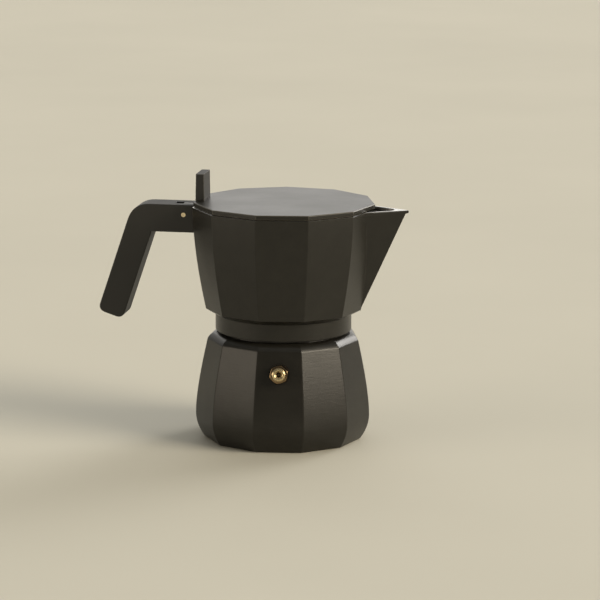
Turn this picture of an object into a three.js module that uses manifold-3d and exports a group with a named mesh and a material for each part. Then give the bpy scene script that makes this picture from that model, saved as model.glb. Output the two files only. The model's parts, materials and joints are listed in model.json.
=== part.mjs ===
// A faceted stove-top coffee pot, built piece by piece. Lengths are millimetres, +Z is up, the spout
// points along +X and the handle along -X. The origin is the centre of the boiler's flat base.
import * as THREE from "three";
import { mergeVertices } from "three/addons/utils/BufferGeometryUtils.js";
import { ConvexGeometry } from "three/addons/geometries/ConvexGeometry.js";
import Module from "manifold-3d";

// ---- Driving dimensions. A radius of a faceted form is measured to its corners. ----

const SIDES = 11; // facets round the pot, with one corner at the spout and one flat at the handle
const SEAT = 0.3; // gap left between a piece and what it rests on or fits into
const ROUND_STEPS = 66; // sides that stand for a full circle on the large turned forms
const MIDDLE_STEPS = 32; // the same on the column and the valve
const SMALL_STEPS = 16; // the same on screws, pins and small bores
const CURVE_STEPS = 9; // stretches that stand for one curved part of a visible outline
const SMALL_CURVE_STEPS = 4; // the same inside, and on small pieces
const CONTACT = 0.1; // gap at faces that are clamped together
const PAST = 1; // how far a cutting form runs past the face that it opens
const MELD = 0.001; // how far two forms that become one reach into each other

// Boiler
const BOILER_FOOT_R = 43.2;
const BOILER_BULGE_R = 48.4;
const BOILER_BULGE_Z = 14.2;
const BOILER_HEEL_Z = 6.6; // height that the curve from the bulge down to the foot leans on
const BOILER_WAIST_Z = 27; // height that the curve from the bulge up to the shoulder leans on
const BOILER_TOP_R = 41.9;
const BOILER_TOP_Z = 55.5; // where the facets end and the shoulder begins
const SHOULDER_RISE = 3.7;
const SHOULDER_RUN = 5.6; // how far the rounded shoulder comes in
const SHOULDER_LEAN = 2.1; // how far in the shoulder's curve leans
const BOILER_TURN = -1.6; // degrees that the tightened boiler's facets stand from the collector's
const BOILER_WALL = 3;
const NECK_R = 34.5;
const NECK_WALL = 3.5;
const NECK_RISE = 7.2;
const NECK_CHAMFER = 0.8;

// Safety valve, screwed through the boiler's front facet
const VALVE_FACET = -2.5; // facets round from the spout's corner, counted anticlockwise from above
const VALVE_Z = 43.7;
const VALVE_FLATS = 9.4; // across the flats of the hexagon
const VALVE_HEX_THICK = 3.4;
const VALVE_BOSS_R = 3.4;
const VALVE_BOSS_RISE = 1.5;
const VALVE_SHANK_R = 3.6;
const VALVE_SHANK_PAST_WALL = 3.2;
const VALVE_HEX_TURN = 18; // degrees from level to the first corner
const VALVE_HEX_CHAMFER = 0.5;
const VALVE_BOSS_CHAMFER = 0.5;
const VALVE_SPOT_R = 5.5; // machined flat on the facet
const VALVE_SPOT_DEPTH = 0.25;
const VALVE_VENT_R = 1.2;
const VALVE_MOUTH_R = 1.8; // rounded mouth of the vent
const VALVE_MOUTH_DEPTH = 0.6;
const VALVE_CHAMBER_R = 2.5;
const VALVE_ROOF = 1.9; // metal between the spring chamber and the outer face
const VALVE_WASHER_THICK = 0.6;
const VALVE_WASHER_MARGIN = 0.3; // hexagon's flats beyond the washer
const VALVE_SEAT_THICK = 1.4;
const VALVE_SEAT_HOLE_R = 1;
const PLUNGER_HEAD_R = 1.9;
const PLUNGER_HEAD_THICK = 1;
const PLUNGER_STEM_R = 0.7;
const PLUNGER_STEM_DEPTH = 2.4; // stem's tip, below the vent's mouth
const SPRING_WIRE_R = 0.22;
const SPRING_TURNS = 5;
const SPRING_STEPS = 12; // stretches in each turn
const WIRE_STEPS = 3; // half the sides of the wire's section

// Funnel and its perforated plate
const SHEET = 0.9; // thickness of the funnel's sheet
const FLANGE_INSET = 0.7; // flange edge, in from the outside of the neck
const BASKET_CLEARANCE = 1.4; // round the basket inside the neck's bore
const BASKET_DEPTH = 20;
const CONE_DROP = 9;
const STEM_R = 4.6;
const STEM_ABOVE_FLOOR = 6;
const BASKET_LEDGE = 1.6; // step that the perforated disc lies on
const PLATE_THICK = 1;
const PLATE_HOLE_R = 0.8;
const PLATE_HOLE_SIDES = 6;
const FILTER_RINGS = 4; // rings of holes round the middle one in the filter plate
const DISC_RINGS = 4; // and in the funnel's disc
const PLATE_RIM = 3.2; // plain border outside the holes

// Gasket and filter plate
const GASKET_THICK = 3;
const GASKET_WIDTH = 7.2;
const GASKET_LAP = 1.8; // how far the filter plate lies over the gasket's inner step
const GASKET_ROOM = 0.4; // round the gasket inside the skirt

// Collector
const THREAD_GAP = 0.5; // skirt's bore beyond the neck, room for the thread
const SKIRT_WALL = 2.4;
const SKIRT_HEIGHT = 9.2;
const SKIRT_GROOVE = 1.3; // open groove between the skirt and the boiler's shoulder
const COLLECTOR_FOOT_R = 42.9;
const COLLECTOR_FOOT_RISE = 2.6; // height of the sloping underside between skirt and facets
const COLLECTOR_LEAN_R = 50.1; // radius and rise that the flank's curve leans on
const COLLECTOR_LEAN_RISE = 32.7;
const COLLECTOR_RIM_R = 50.2;
const COLLECTOR_HEIGHT = 56.2; // from the bottom edge of the facets to the rim
const COLLECTOR_WALL = 2;
const COLLECTOR_FLOOR = 3.2;
const COFFEE_ROOM = 1.2; // hollow in the floor's underside, above the filter plate

// Spout
const SPOUT_REACH = 18.7; // tip, out from the rim's corner
const SPOUT_HALF_WIDTH = 12.8;
const SPOUT_WALL = 1.5;
const SPOUT_END_R = 4.9; // rounded end of the channel near the tip
const SPOUT_LIP_OVERHANG = 1.7; // at the tip
const SPOUT_LIP_SIDE = 0.45; // the same along the sides
const SPOUT_LIP_HEIGHT = 2; // from the rim down to where the lip meets the flank
const SPOUT_LIP_EDGE = 1.4; // upright edge of the lip, above its sloping underside
const SPOUT_SILL = 6; // lowest point of the channel, above the collector's floor

// Column that the coffee rises in
const COLUMN_FOOT_R = 8;
const COLUMN_TOP_R = 4.6;
const COLUMN_HEIGHT = 37; // above the collector's floor
const COLUMN_BORE_R = 2.6;
const COLUMN_FOOT_THICK = 1.5;
const COLUMN_FLARE_LEAN = 3; // height above the floor that the flare's curve leans on
const COLUMN_FLARE_RISE = 18.5; // and where the flare ends
const COLUMN_SPIGOT_R = 5;
const COLUMN_SLOT_WIDTH = 2.4;
const COLUMN_SLOT_HEIGHT = 5;
const COLUMN_CAP_RISE = 3.2;
const COLUMN_CAP_SKIRT = 3;
const COLUMN_CAP_WALL = 0.7;
const COLUMN_CAP_WELL = 1.6; // hollow under the cap's dome

// Lid
const LID_INSET = 0.2; // lid's corners, in from the rim's
const LID_THICK = 2.5;
const LID_SHIFT = 0.3; // towards the spout
const LID_RECESS = 0.9;
const LID_BORDER = 7;
const LID_EDGE = 0.3;
const LIP_DEPTH = 2;
const LIP_WIDTH = 1.4;
const LIP_CLEARANCE = 0.6;
const LIP_FROM = 22; // degrees round from the spout, on both sides
const LIP_TO = 128;

// Hinge
const HINGE_REACH = 6.3; // pin axis, out from the rim's rear flat
const HINGE_DROP = 5.3; // pin axis, below the collector's rim
const PIN_R = 1.3;
const PIN_FIT = 0.12;
const PIN_SHORT = 0.1; // each end, in from the handle's side
const PIN_DIMPLE_R = 0.4;
const PIN_DIMPLE_DEPTH = 0.3;
const ARM_DEPTH = 3.7;
const ARM_ROOT = 3; // arm under the lid, in from the collector's wall
const ARM_ROOT_SLOPE = 1; // run of the slope at its end
const NOTCH_GAP = 0.5; // below the arm, in the notch that it passes through
const ARM_WIDTH = 4.8;
const ARM_SIDE_GAP = 0.3;
const HUB_R = 4;
const ARM_TOP_LOW = 0.2; // arm's top, below the handle's

// Handle
const HANDLE_WIDTH = 16.6;
const HANDLE_THICK = 15.3;
const HANDLE_TOP_RISE = 0.2; // above the collector's rim
const HANDLE_REACH = 34.6; // outer top corner before rounding, out from the rim's rear flat
const HANDLE_GRIP_THICK = 14.7;
const HANDLE_GRIP_LEAN = 18.4; // degrees from upright
const HANDLE_GRIP_LENGTH = 63.5; // along the outer face, from the corner to the end
const HANDLE_CORNER = 9.5; // start of the outer bend, back from the corner
const HANDLE_END_R = 4.2;
const HANDLE_EDGE = 0.5; // rounding of the long edges
const SLOT_BACK_GAP = 0.3; // closed end of the slot, behind the open arm

// Cast lug that carries the handle, and its screw
const LUG_WIDTH = 10;
const LUG_THICK = 3;
const LUG_PAST_PIN = 11.5;
const SCREW_PAST_PIN = 7.6;
const SCREW_R = 1.5;
const SCREW_HEAD_R = 2.9;
const SCREW_HEAD_THICK = 1.6;
const SCREW_RECESS_REACH = 1.7; // each arm of the cross, out from the middle
const SCREW_RECESS_DEPTH = 1.1;
const RECESS_WIDTH = 0.7; // across one arm, on all the screws

// Knob
const KNOB_THICK = 5;
const KNOB_WIDTH = 17.4;
const KNOB_HEIGHT = 14.7;
const KNOB_DRAFT = 0.25;
const KNOB_EDGE = 0.3;
const KNOB_SCREW_SPREAD = 4.7; // each screw, out from the middle
const KNOB_SCREW_R = 1.25;
const KNOB_SCREW_HEAD_R = 2.1;
const KNOB_SCREW_HEAD_THICK = 1.1;
const KNOB_SCREW_GRIP = 6; // length inside the knob
const KNOB_RECESS_REACH = 1.25;
const KNOB_RECESS_DEPTH = 0.75;

// ---- Levels and places worked out from them ----

const FLAT = Math.cos(Math.PI / SIDES); // distance to a flat over the distance to a corner
const FACET_TURN = (2 * Math.PI) / SIDES;
const SHOULDER_Z = BOILER_TOP_Z + SHOULDER_RISE;
const NECK_TOP = SHOULDER_Z + NECK_RISE;
const NECK_BORE_R = NECK_R - NECK_WALL;
const FLANGE_Z = NECK_TOP + CONTACT;
const GASKET_Z = FLANGE_Z + SHEET + CONTACT;
const GASKET_TOP = GASKET_Z + GASKET_THICK;
const CEILING_Z = GASKET_TOP + CONTACT; // underside of the collector's floor
const SKIRT_Z = SHOULDER_Z + SKIRT_GROOVE;
const SKIRT_BORE_R = NECK_R + THREAD_GAP;
const SKIRT_R = SKIRT_BORE_R + SKIRT_WALL;
const EDGE_Z = SKIRT_Z + SKIRT_HEIGHT + COLLECTOR_FOOT_RISE;
const RIM_Z = EDGE_Z + COLLECTOR_HEIGHT;
const FLOOR_Z = CEILING_Z + COLLECTOR_FLOOR;
const REAR_X = -COLLECTOR_RIM_R * FLAT;
const HINGE_X = REAR_X - HINGE_REACH;
const HINGE_Z = RIM_Z - HINGE_DROP;
const HANDLE_TOP = RIM_Z + HANDLE_TOP_RISE;
const LID_Z = RIM_Z + SEAT;
const LID_TOP = LID_Z + LID_THICK;
const LID_R = COLLECTOR_RIM_R - LID_INSET;
const LID_REAR_X = LID_SHIFT - LID_R * FLAT;
const LUG_TOP = HINGE_Z - HUB_R - SEAT;
const ARM_TOP = HANDLE_TOP - ARM_TOP_LOW;
const ARM_UNDER = ARM_TOP - ARM_DEPTH;
const KNOB_X = LID_REAR_X + KNOB_THICK / 2;
const SCREW_HEAD_Z = HANDLE_TOP - HANDLE_THICK + CONTACT;

// ---- Making solids ----

const wasm = await Module();
wasm.setup();

function manifoldOf(vertProperties, triVerts) {
  return new wasm.Manifold(new wasm.Mesh({ numProp: 3, vertProperties, triVerts }));
}

// A closed geometry as a solid whose faces point outward.
function solid(geometry) {
  const bare = new THREE.BufferGeometry();
  bare.setAttribute("position", geometry.getAttribute("position"));
  bare.setIndex(geometry.getIndex());
  const merged = mergeVertices(bare, 1e-4);
  const corners = merged.getIndex().array;
  const kept = [];
  for (let i = 0; i < corners.length; i += 3) {
    const [a, b, c] = corners.slice(i, i + 3);
    if (a !== b && b !== c && c !== a) kept.push(a, b, c);
  }
  const points = merged.getAttribute("position").array;
  const made = manifoldOf(points, new Uint32Array(kept));
  return made.volume() < 0 ? manifoldOf(points, new Uint32Array(kept.reverse())) : made;
}

// A profile of radius against height, spun about Z. With few steps it has a corner on +X.
function spun(path, steps, curveSteps = CURVE_STEPS) {
  const lathe = new THREE.LatheGeometry(path.getPoints(curveSteps), steps, Math.PI / 2);
  return solid(lathe.rotateX(Math.PI / 2));
}

// A closed outline as a path, from pairs of numbers.
function outline(pairs) {
  const shape = new THREE.Shape();
  shape.moveTo(...pairs[0]);
  pairs.slice(1).forEach((pair) => shape.lineTo(...pair));
  shape.closePath();
  return shape;
}

// A turned profile given as pairs of radius and height, closed on the axis.
function turned(pairs, steps = SMALL_STEPS) {
  const path = new THREE.Path();
  path.moveTo(...pairs[0]);
  pairs.slice(1).forEach((pair) => path.lineTo(...pair));
  return spun(path, steps);
}

function rod(radius, from, to, steps = SMALL_STEPS) {
  return turned([[0, from], [radius, from], [radius, to], [0, to]], steps);
}

// A washer-shaped solid about Z.
function ring(inner, outer, from, to, steps = ROUND_STEPS) {
  const band = turned([[0, from], [outer, from], [outer, to], [0, to]], steps);
  return band.subtract(rod(inner, from - PAST, to + PAST, steps));
}

function block(x0, x1, y0, y1, z0, z1) {
  const box = new THREE.BoxGeometry(x1 - x0, y1 - y0, z1 - z0);
  return solid(box.translate((x0 + x1) / 2, (y0 + y1) / 2, (z0 + z1) / 2));
}

// An outline in X and Z, given a width in Y about the middle and, where asked, rounded long edges.
function slab(shape, width, edge = 0) {
  const extruded = new THREE.ExtrudeGeometry(shape, {
    depth: width - 2 * edge,
    curveSegments: CURVE_STEPS,
    bevelEnabled: edge > 0,
    bevelThickness: edge,
    bevelSize: edge,
    bevelOffset: -edge,
    bevelSegments: 2,
  });
  return solid(extruded.translate(0, 0, edge - width / 2).rotateX(Math.PI / 2));
}

function geometryOf(made) {
  const { vertProperties, triVerts } = made.getMesh();
  const geometry = new THREE.BufferGeometry();
  geometry.setAttribute("position", new THREE.BufferAttribute(vertProperties, 3));
  geometry.setIndex(new THREE.BufferAttribute(triVerts, 1));
  geometry.computeVertexNormals();
  return geometry;
}

const COATED = new THREE.MeshStandardMaterial({ color: 0x2b2925, roughness: 0.55, metalness: 0.4 });
const PLASTIC = new THREE.MeshStandardMaterial({ color: 0x2e2c2a, roughness: 0.6, metalness: 0 });
const BRASS = new THREE.MeshStandardMaterial({ color: 0xb8862d, roughness: 0.3, metalness: 1 });
const ALUMINIUM = new THREE.MeshStandardMaterial({ color: 0xb9babb, roughness: 0.4, metalness: 1 });
const STEEL = new THREE.MeshStandardMaterial({ color: 0x9a9a9a, roughness: 0.35, metalness: 1 });
const SILICONE = new THREE.MeshStandardMaterial({ color: 0xd9d6cf, roughness: 0.8, metalness: 0 });
const FIBRE = new THREE.MeshStandardMaterial({ color: 0x7a2f22, roughness: 0.9, metalness: 0 });

const pot = new THREE.Group();

function add(name, made, material, parent = pot) {
  const mesh = new THREE.Mesh(geometryOf(made), material);
  mesh.name = name;
  parent.add(mesh);
}

// A group that stands at a point of the pot, for pieces that are made about their own zero.
function groupAt(x, y, z) {
  const group = new THREE.Group();
  group.position.set(x, y, z);
  pot.add(group);
  return group;
}

// ---- Boiler ----

// The boiler's outline from the foot up the curved facets to the shoulder, moved inward by an inset.
function boilerOutline(inset) {
  const shrink = inset / FLAT;
  const bulge = BOILER_BULGE_R - shrink;
  const top = BOILER_TOP_R - shrink;
  const shoulderZ = SHOULDER_Z - inset;
  const path = new THREE.Path();
  path.moveTo(0, inset);
  path.lineTo(BOILER_FOOT_R - shrink, inset);
  path.quadraticCurveTo(bulge, BOILER_HEEL_Z, bulge, BOILER_BULGE_Z);
  path.quadraticCurveTo(bulge, BOILER_WAIST_Z, top, BOILER_TOP_Z - inset);
  path.quadraticCurveTo(top - SHOULDER_LEAN, shoulderZ, top - SHOULDER_RUN, shoulderZ);
  path.lineTo(0, shoulderZ);
  return path;
}

// Where the valve stands: a frame on its facet, with Z outward, X level and Y up the facet.
function valveFrame() {
  const points = boilerOutline(0).getPoints(CURVE_STEPS);
  const above = points.findIndex((point) => point.y > VALVE_Z);
  const low = points[above - 1];
  const high = points[above];
  const share = (VALVE_Z - low.y) / (high.y - low.y);
  const reach = (low.x + share * (high.x - low.x)) * FLAT;
  const lean = Math.atan2((low.x - high.x) * FLAT, high.y - low.y);
  const turn = VALVE_FACET * FACET_TURN + THREE.MathUtils.degToRad(BOILER_TURN);
  const level = new THREE.Vector3(-Math.sin(turn), Math.cos(turn), 0);
  const outward = new THREE.Vector3(Math.cos(turn), Math.sin(turn), Math.tan(lean)).normalize();
  const up = new THREE.Vector3().crossVectors(outward, level);
  const frame = new THREE.Matrix4().makeBasis(level, up, outward);
  const spot = new THREE.Vector3(Math.cos(turn) * reach, Math.sin(turn) * reach, VALVE_Z);
  return frame.setPosition(spot.addScaledVector(outward, -VALVE_SPOT_DEPTH));
}

function placed(made, matrix) {
  return solid(geometryOf(made).applyMatrix4(matrix));
}

function makeBoiler(frame) {
  const turn = new THREE.Matrix4().makeRotationZ(THREE.MathUtils.degToRad(BOILER_TURN));
  const outside = placed(spun(boilerOutline(0), SIDES), turn);
  const inside = placed(spun(boilerOutline(BOILER_WALL), SIDES, SMALL_CURVE_STEPS), turn);
  const neck = turned(
    [
      [0, SHOULDER_Z - BOILER_WALL],
      [NECK_R, SHOULDER_Z - BOILER_WALL],
      [NECK_R, NECK_TOP - NECK_CHAMFER],
      [NECK_R - NECK_CHAMFER, NECK_TOP],
      [0, NECK_TOP],
    ],
    ROUND_STEPS,
  );
  const bore = rod(NECK_BORE_R, SHOULDER_Z - 2 * BOILER_WALL, NECK_TOP + PAST, ROUND_STEPS);
  const spotFace = rod(VALVE_SPOT_R, 0, VALVE_SPOT_R, MIDDLE_STEPS);
  const tapping = rod(VALVE_SHANK_R + CONTACT, -2 * BOILER_WALL, PAST);
  const valveCut = placed(spotFace.add(tapping), frame);
  return outside.add(neck).subtract(inside).subtract(bore).subtract(valveCut);
}

// ---- Safety valve, each piece about its own Z with the machined flat at zero ----

const HEX_Z = VALVE_WASHER_THICK + 2 * CONTACT;
const HEX_TOP = HEX_Z + VALVE_HEX_THICK;
const BOSS_TOP = HEX_TOP + VALVE_BOSS_RISE;
const SHANK_END = -BOILER_WALL - VALVE_SHANK_PAST_WALL;
const PLUNGER_Z = SHANK_END + VALVE_SEAT_THICK + CONTACT;
const CHAMBER_TOP = BOSS_TOP - VALVE_ROOF;

function makeValveBody() {
  const cornerR = VALVE_FLATS / 2 / Math.cos(Math.PI / 6);
  const turn = new THREE.Matrix4().makeRotationZ(THREE.MathUtils.degToRad(VALVE_HEX_TURN));
  const hexagon = placed(rod(cornerR, HEX_Z, HEX_TOP, 6), turn);
  const rounding = turned([
    [0, HEX_Z],
    [cornerR, HEX_Z],
    [cornerR, HEX_TOP - VALVE_HEX_CHAMFER],
    [VALVE_FLATS / 2 - VALVE_HEX_CHAMFER, HEX_TOP],
    [0, HEX_TOP],
  ], MIDDLE_STEPS);
  const core = turned([
    [0, SHANK_END],
    [VALVE_SHANK_R, SHANK_END],
    [VALVE_SHANK_R, HEX_Z],
    [VALVE_BOSS_R, HEX_Z],
    [VALVE_BOSS_R, BOSS_TOP - VALVE_BOSS_CHAMFER],
    [VALVE_BOSS_R - VALVE_BOSS_CHAMFER, BOSS_TOP],
    [0, BOSS_TOP],
  ]);
  const hollow = turned([
    [0, SHANK_END - PAST],
    [VALVE_CHAMBER_R, SHANK_END - PAST],
    [VALVE_CHAMBER_R, CHAMBER_TOP],
    [VALVE_VENT_R, CHAMBER_TOP],
    [VALVE_VENT_R, BOSS_TOP - VALVE_MOUTH_DEPTH],
    [VALVE_MOUTH_R, BOSS_TOP],
    [VALVE_MOUTH_R, BOSS_TOP + PAST],
    [0, BOSS_TOP + PAST],
  ]);
  return hexagon.intersect(rounding).add(core).subtract(hollow);
}

function makeValvePlunger() {
  return turned([
    [0, PLUNGER_Z],
    [PLUNGER_HEAD_R, PLUNGER_Z],
    [PLUNGER_HEAD_R, PLUNGER_Z + PLUNGER_HEAD_THICK],
    [PLUNGER_STEM_R, PLUNGER_Z + PLUNGER_HEAD_THICK],
    [PLUNGER_STEM_R, BOSS_TOP - PLUNGER_STEM_DEPTH],
    [0, BOSS_TOP - PLUNGER_STEM_DEPTH],
  ]);
}

class Helix extends THREE.Curve {
  constructor(radius, from, to, turns) {
    super();
    Object.assign(this, { radius, from, to, turns });
  }

  getPoint(t, target = new THREE.Vector3()) {
    const angle = 2 * Math.PI * this.turns * t;
    const height = this.from + (this.to - this.from) * t;
    return target.set(this.radius * Math.cos(angle), this.radius * Math.sin(angle), height);
  }
}

function makeValveSpring() {
  const low = PLUNGER_Z + PLUNGER_HEAD_THICK + SPRING_WIRE_R + CONTACT;
  const high = CHAMBER_TOP - SPRING_WIRE_R - CONTACT;
  const coilR = (VALVE_CHAMBER_R + PLUNGER_STEM_R) / 2;
  const wire = new THREE.Shape();
  wire.absarc(0, 0, SPRING_WIRE_R, 0, 2 * Math.PI);
  const extruded = new THREE.ExtrudeGeometry(wire, {
    steps: SPRING_STEPS * SPRING_TURNS,
    curveSegments: WIRE_STEPS,
    extrudePath: new Helix(coilR, low, high, SPRING_TURNS),
  });
  return solid(extruded);
}

function makeValve(frame) {
  const valve = new THREE.Group();
  valve.applyMatrix4(frame);
  pot.add(valve);
  const washerR = VALVE_FLATS / 2 - VALVE_WASHER_MARGIN;
  const washerTop = CONTACT + VALVE_WASHER_THICK;
  const washer = ring(VALVE_SHANK_R + CONTACT, washerR, CONTACT, washerTop, SMALL_STEPS);
  const seatR = VALVE_CHAMBER_R - CONTACT;
  const seat = ring(VALVE_SEAT_HOLE_R, seatR, SHANK_END, SHANK_END + VALVE_SEAT_THICK, SMALL_STEPS);
  add("valve_body", makeValveBody(), BRASS, valve);
  add("valve_washer", washer, FIBRE, valve);
  add("valve_seat", seat, BRASS, valve);
  add("valve_plunger", makeValvePlunger(), BRASS, valve);
  add("valve_spring", makeValveSpring(), STEEL, valve);
}

// ---- Funnel, its disc, the gasket and the filter plate ----

const BASKET_R = NECK_BORE_R - BASKET_CLEARANCE;
const BASKET_FLOOR_Z = FLANGE_Z + SHEET - BASKET_DEPTH;
const GASKET_R = SKIRT_BORE_R - GASKET_ROOM;
const GASKET_BORE_R = GASKET_R - GASKET_WIDTH;
const FILTER_R = GASKET_BORE_R + GASKET_LAP;

function makeFunnel() {
  const flangeR = NECK_R - FLANGE_INSET;
  const innerR = BASKET_R - SHEET;
  const coneZ = BASKET_FLOOR_Z - SHEET - CONE_DROP;
  const endZ = BOILER_WALL + STEM_ABOVE_FLOOR;
  return turned(
    [
      [STEM_R - SHEET, endZ],
      [STEM_R - SHEET, coneZ],
      [innerR - BASKET_LEDGE, BASKET_FLOOR_Z],
      [innerR, BASKET_FLOOR_Z],
      [innerR, FLANGE_Z + SHEET],
      [flangeR, FLANGE_Z + SHEET],
      [flangeR, FLANGE_Z],
      [BASKET_R, FLANGE_Z],
      [BASKET_R, BASKET_FLOOR_Z - SHEET],
      [BASKET_R - BASKET_LEDGE, BASKET_FLOOR_Z - SHEET],
      [STEM_R, coneZ - SHEET / 2],
      [STEM_R, endZ],
      [STEM_R - SHEET, endZ],
    ],
    ROUND_STEPS,
  );
}

// A thin disc with a hole in its middle and rings of holes round it, six more in each ring.
function perforatedDisc(radius, z, rings) {
  const disc = rod(radius, z, z + PLATE_THICK, ROUND_STEPS);
  const drill = rod(PLATE_HOLE_R, z - PAST, z + PLATE_THICK + PAST, PLATE_HOLE_SIDES);
  const pitch = (radius - PLATE_RIM) / rings;
  let plate = disc;
  for (let row = 0; row <= rings; row++) {
    const count = Math.max(1, 6 * row);
    for (let k = 0; k < count; k++) {
      const angle = (2 * Math.PI * k) / count;
      const away = [row * pitch * Math.cos(angle), row * pitch * Math.sin(angle), 0];
      plate = plate.subtract(placed(drill, new THREE.Matrix4().makeTranslation(...away)));
    }
  }
  return plate;
}

function makeGasket() {
  const stepZ = GASKET_TOP - PLATE_THICK - CONTACT;
  const stepR = FILTER_R + CONTACT;
  return turned(
    [
      [GASKET_BORE_R, GASKET_Z],
      [GASKET_R, GASKET_Z],
      [GASKET_R, GASKET_TOP],
      [stepR, GASKET_TOP],
      [stepR, stepZ],
      [GASKET_BORE_R, stepZ],
      [GASKET_BORE_R, GASKET_Z],
    ],
    ROUND_STEPS,
  );
}

// ---- Collector ----

const TIP_X = COLLECTOR_RIM_R + SPOUT_REACH;
const SPOUT_ROOT_X = COLLECTOR_RIM_R - SPOUT_HALF_WIDTH * Math.tan(FACET_TURN / 2);
const UNDER_LIP_Z = RIM_Z - SPOUT_LIP_HEIGHT;

// The collector's curved facets as an outline closed on the axis, moved inward by an inset.
function collectorOutline(inset, lowest, highest) {
  const shrink = inset / FLAT;
  const rimR = COLLECTOR_RIM_R - shrink;
  const path = new THREE.Path();
  path.moveTo(0, lowest);
  path.lineTo(COLLECTOR_FOOT_R - shrink, lowest);
  path.lineTo(COLLECTOR_FOOT_R - shrink, EDGE_Z);
  path.quadraticCurveTo(COLLECTOR_LEAN_R - shrink, EDGE_Z + COLLECTOR_LEAN_RISE, rimR, RIM_Z);
  path.lineTo(rimR, highest);
  path.lineTo(0, highest);
  return path;
}

// The smallest closed form round a set of points.
function hull(points) {
  return solid(new ConvexGeometry(points.map((point) => new THREE.Vector3(...point))));
}

// A flat-sided wedge from the rim's corner to the tip, running down to the bottom of the corner below it.
function makeProw() {
  const rootY = SPOUT_HALF_WIDTH;
  const sideY = rootY - SPOUT_LIP_SIDE;
  const outline = (tipX, y, z) => [
    [tipX, 0, z],
    [SPOUT_ROOT_X, y, z],
    [SPOUT_ROOT_X, -y, z],
    [0, 0, z],
  ];
  const lip = [RIM_Z, RIM_Z - SPOUT_LIP_EDGE].flatMap((z) => outline(TIP_X, rootY, z));
  const underLip = outline(TIP_X - SPOUT_LIP_OVERHANG, sideY, UNDER_LIP_Z);
  const ridgeFoot = [
    [0, 0, EDGE_Z],
    [COLLECTOR_FOOT_R - CONTACT, 0, EDGE_Z],
  ];
  return hull([...lip, ...underLip]).add(hull([...underLip, ...ridgeFoot]));
}

// The channel that leads from the chamber to the tip: round-ended at the rim and narrowing to its sill.
function makeChannel() {
  const reach = TIP_X - SPOUT_ROOT_X;
  const halfAngle = Math.atan2(SPOUT_HALF_WIDTH, reach);
  const wall = SPOUT_WALL;
  const centreX = TIP_X - (SPOUT_END_R + wall) / Math.sin(halfAngle);
  const arc = Array.from({ length: 2 * CURVE_STEPS + 1 }, (_, k) => {
    const angle = (k / CURVE_STEPS - 1) * (Math.PI / 2 - halfAngle);
    return [centreX + SPOUT_END_R * Math.cos(angle), SPOUT_END_R * Math.sin(angle)];
  });
  const rootY = SPOUT_HALF_WIDTH - wall / Math.cos(halfAngle);
  const mouth = [...arc, [SPOUT_ROOT_X, rootY], [SPOUT_ROOT_X, -rootY], [SPOUT_ROOT_X / 2, 0]];
  const sillZ = FLOOR_Z + SPOUT_SILL;
  const ridgeRun = TIP_X - SPOUT_LIP_OVERHANG - COLLECTOR_FOOT_R;
  const ridgeX = COLLECTOR_FOOT_R + (ridgeRun * (sillZ - EDGE_Z)) / (UNDER_LIP_Z - EDGE_Z);
  const sill = [
    [ridgeX - wall / Math.sin(halfAngle), 0, sillZ],
    [SPOUT_ROOT_X / 2, 0, sillZ],
  ];
  const rim = [RIM_Z, RIM_Z + PAST].flatMap((z) => mouth.map(([x, y]) => [x, y, z]));
  return hull([...rim, ...sill]);
}

function makeCollector() {
  const flank = spun(collectorOutline(0, EDGE_Z, RIM_Z), SIDES);
  const underside = hullOfRings(SKIRT_R, EDGE_Z - COLLECTOR_FOOT_RISE, COLLECTOR_FOOT_R, EDGE_Z);
  const skirt = rod(SKIRT_R, SKIRT_Z, EDGE_Z, ROUND_STEPS);
  const lugY = LUG_WIDTH / 2;
  const lug = block(HINGE_X - LUG_PAST_PIN, 0, -lugY, lugY, LUG_TOP - LUG_THICK, LUG_TOP);
  const outside = [underside, skirt, lug, makeProw()].reduce((all, next) => all.add(next), flank);
  const inner = collectorOutline(COLLECTOR_WALL, EDGE_Z, RIM_Z + PAST);
  const aboveFloor = block(-TIP_X, TIP_X, -TIP_X, TIP_X, FLOOR_Z, RIM_Z + 2 * PAST);
  const chamber = spun(inner, SIDES, SMALL_CURVE_STEPS).intersect(aboveFloor);
  const skirtBore = rod(SKIRT_BORE_R, SKIRT_Z - PAST, CEILING_Z, ROUND_STEPS);
  const coffeeRoom = rod(GASKET_BORE_R, CEILING_Z - PAST, CEILING_Z + COFFEE_ROOM, ROUND_STEPS);
  const socket = rod(COLUMN_SPIGOT_R + CONTACT, CEILING_Z - PAST, FLOOR_Z + PAST);
  const tapping = placed(rod(SCREW_R + CONTACT, 0, HANDLE_THICK), screwPlace());
  const notchY = ARM_WIDTH / 2 + ARM_SIDE_GAP;
  const notchX = REAR_X + 2 * COLLECTOR_WALL;
  const notch = block(REAR_X - PAST, notchX, -notchY, notchY, ARM_UNDER - NOTCH_GAP, RIM_Z + PAST);
  const cuts = [chamber, makeChannel(), skirtBore, coffeeRoom, socket, tapping, notch];
  return cuts.reduce((left, cut) => left.subtract(cut), outside);
}

// The sloping underside between the round skirt and the faceted flank.
function hullOfRings(roundR, roundZ, facetR, facetZ) {
  const points = [];
  for (let k = 0; k < ROUND_STEPS; k++) {
    const angle = (2 * Math.PI * k) / ROUND_STEPS;
    points.push([roundR * Math.cos(angle), roundR * Math.sin(angle), roundZ]);
  }
  for (let k = 0; k < SIDES; k++) {
    const angle = k * FACET_TURN;
    points.push([facetR * Math.cos(angle), facetR * Math.sin(angle), facetZ]);
  }
  return hull(points);
}

// ---- Column ----

const COLUMN_TOP_Z = FLOOR_Z + COLUMN_HEIGHT;

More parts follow.
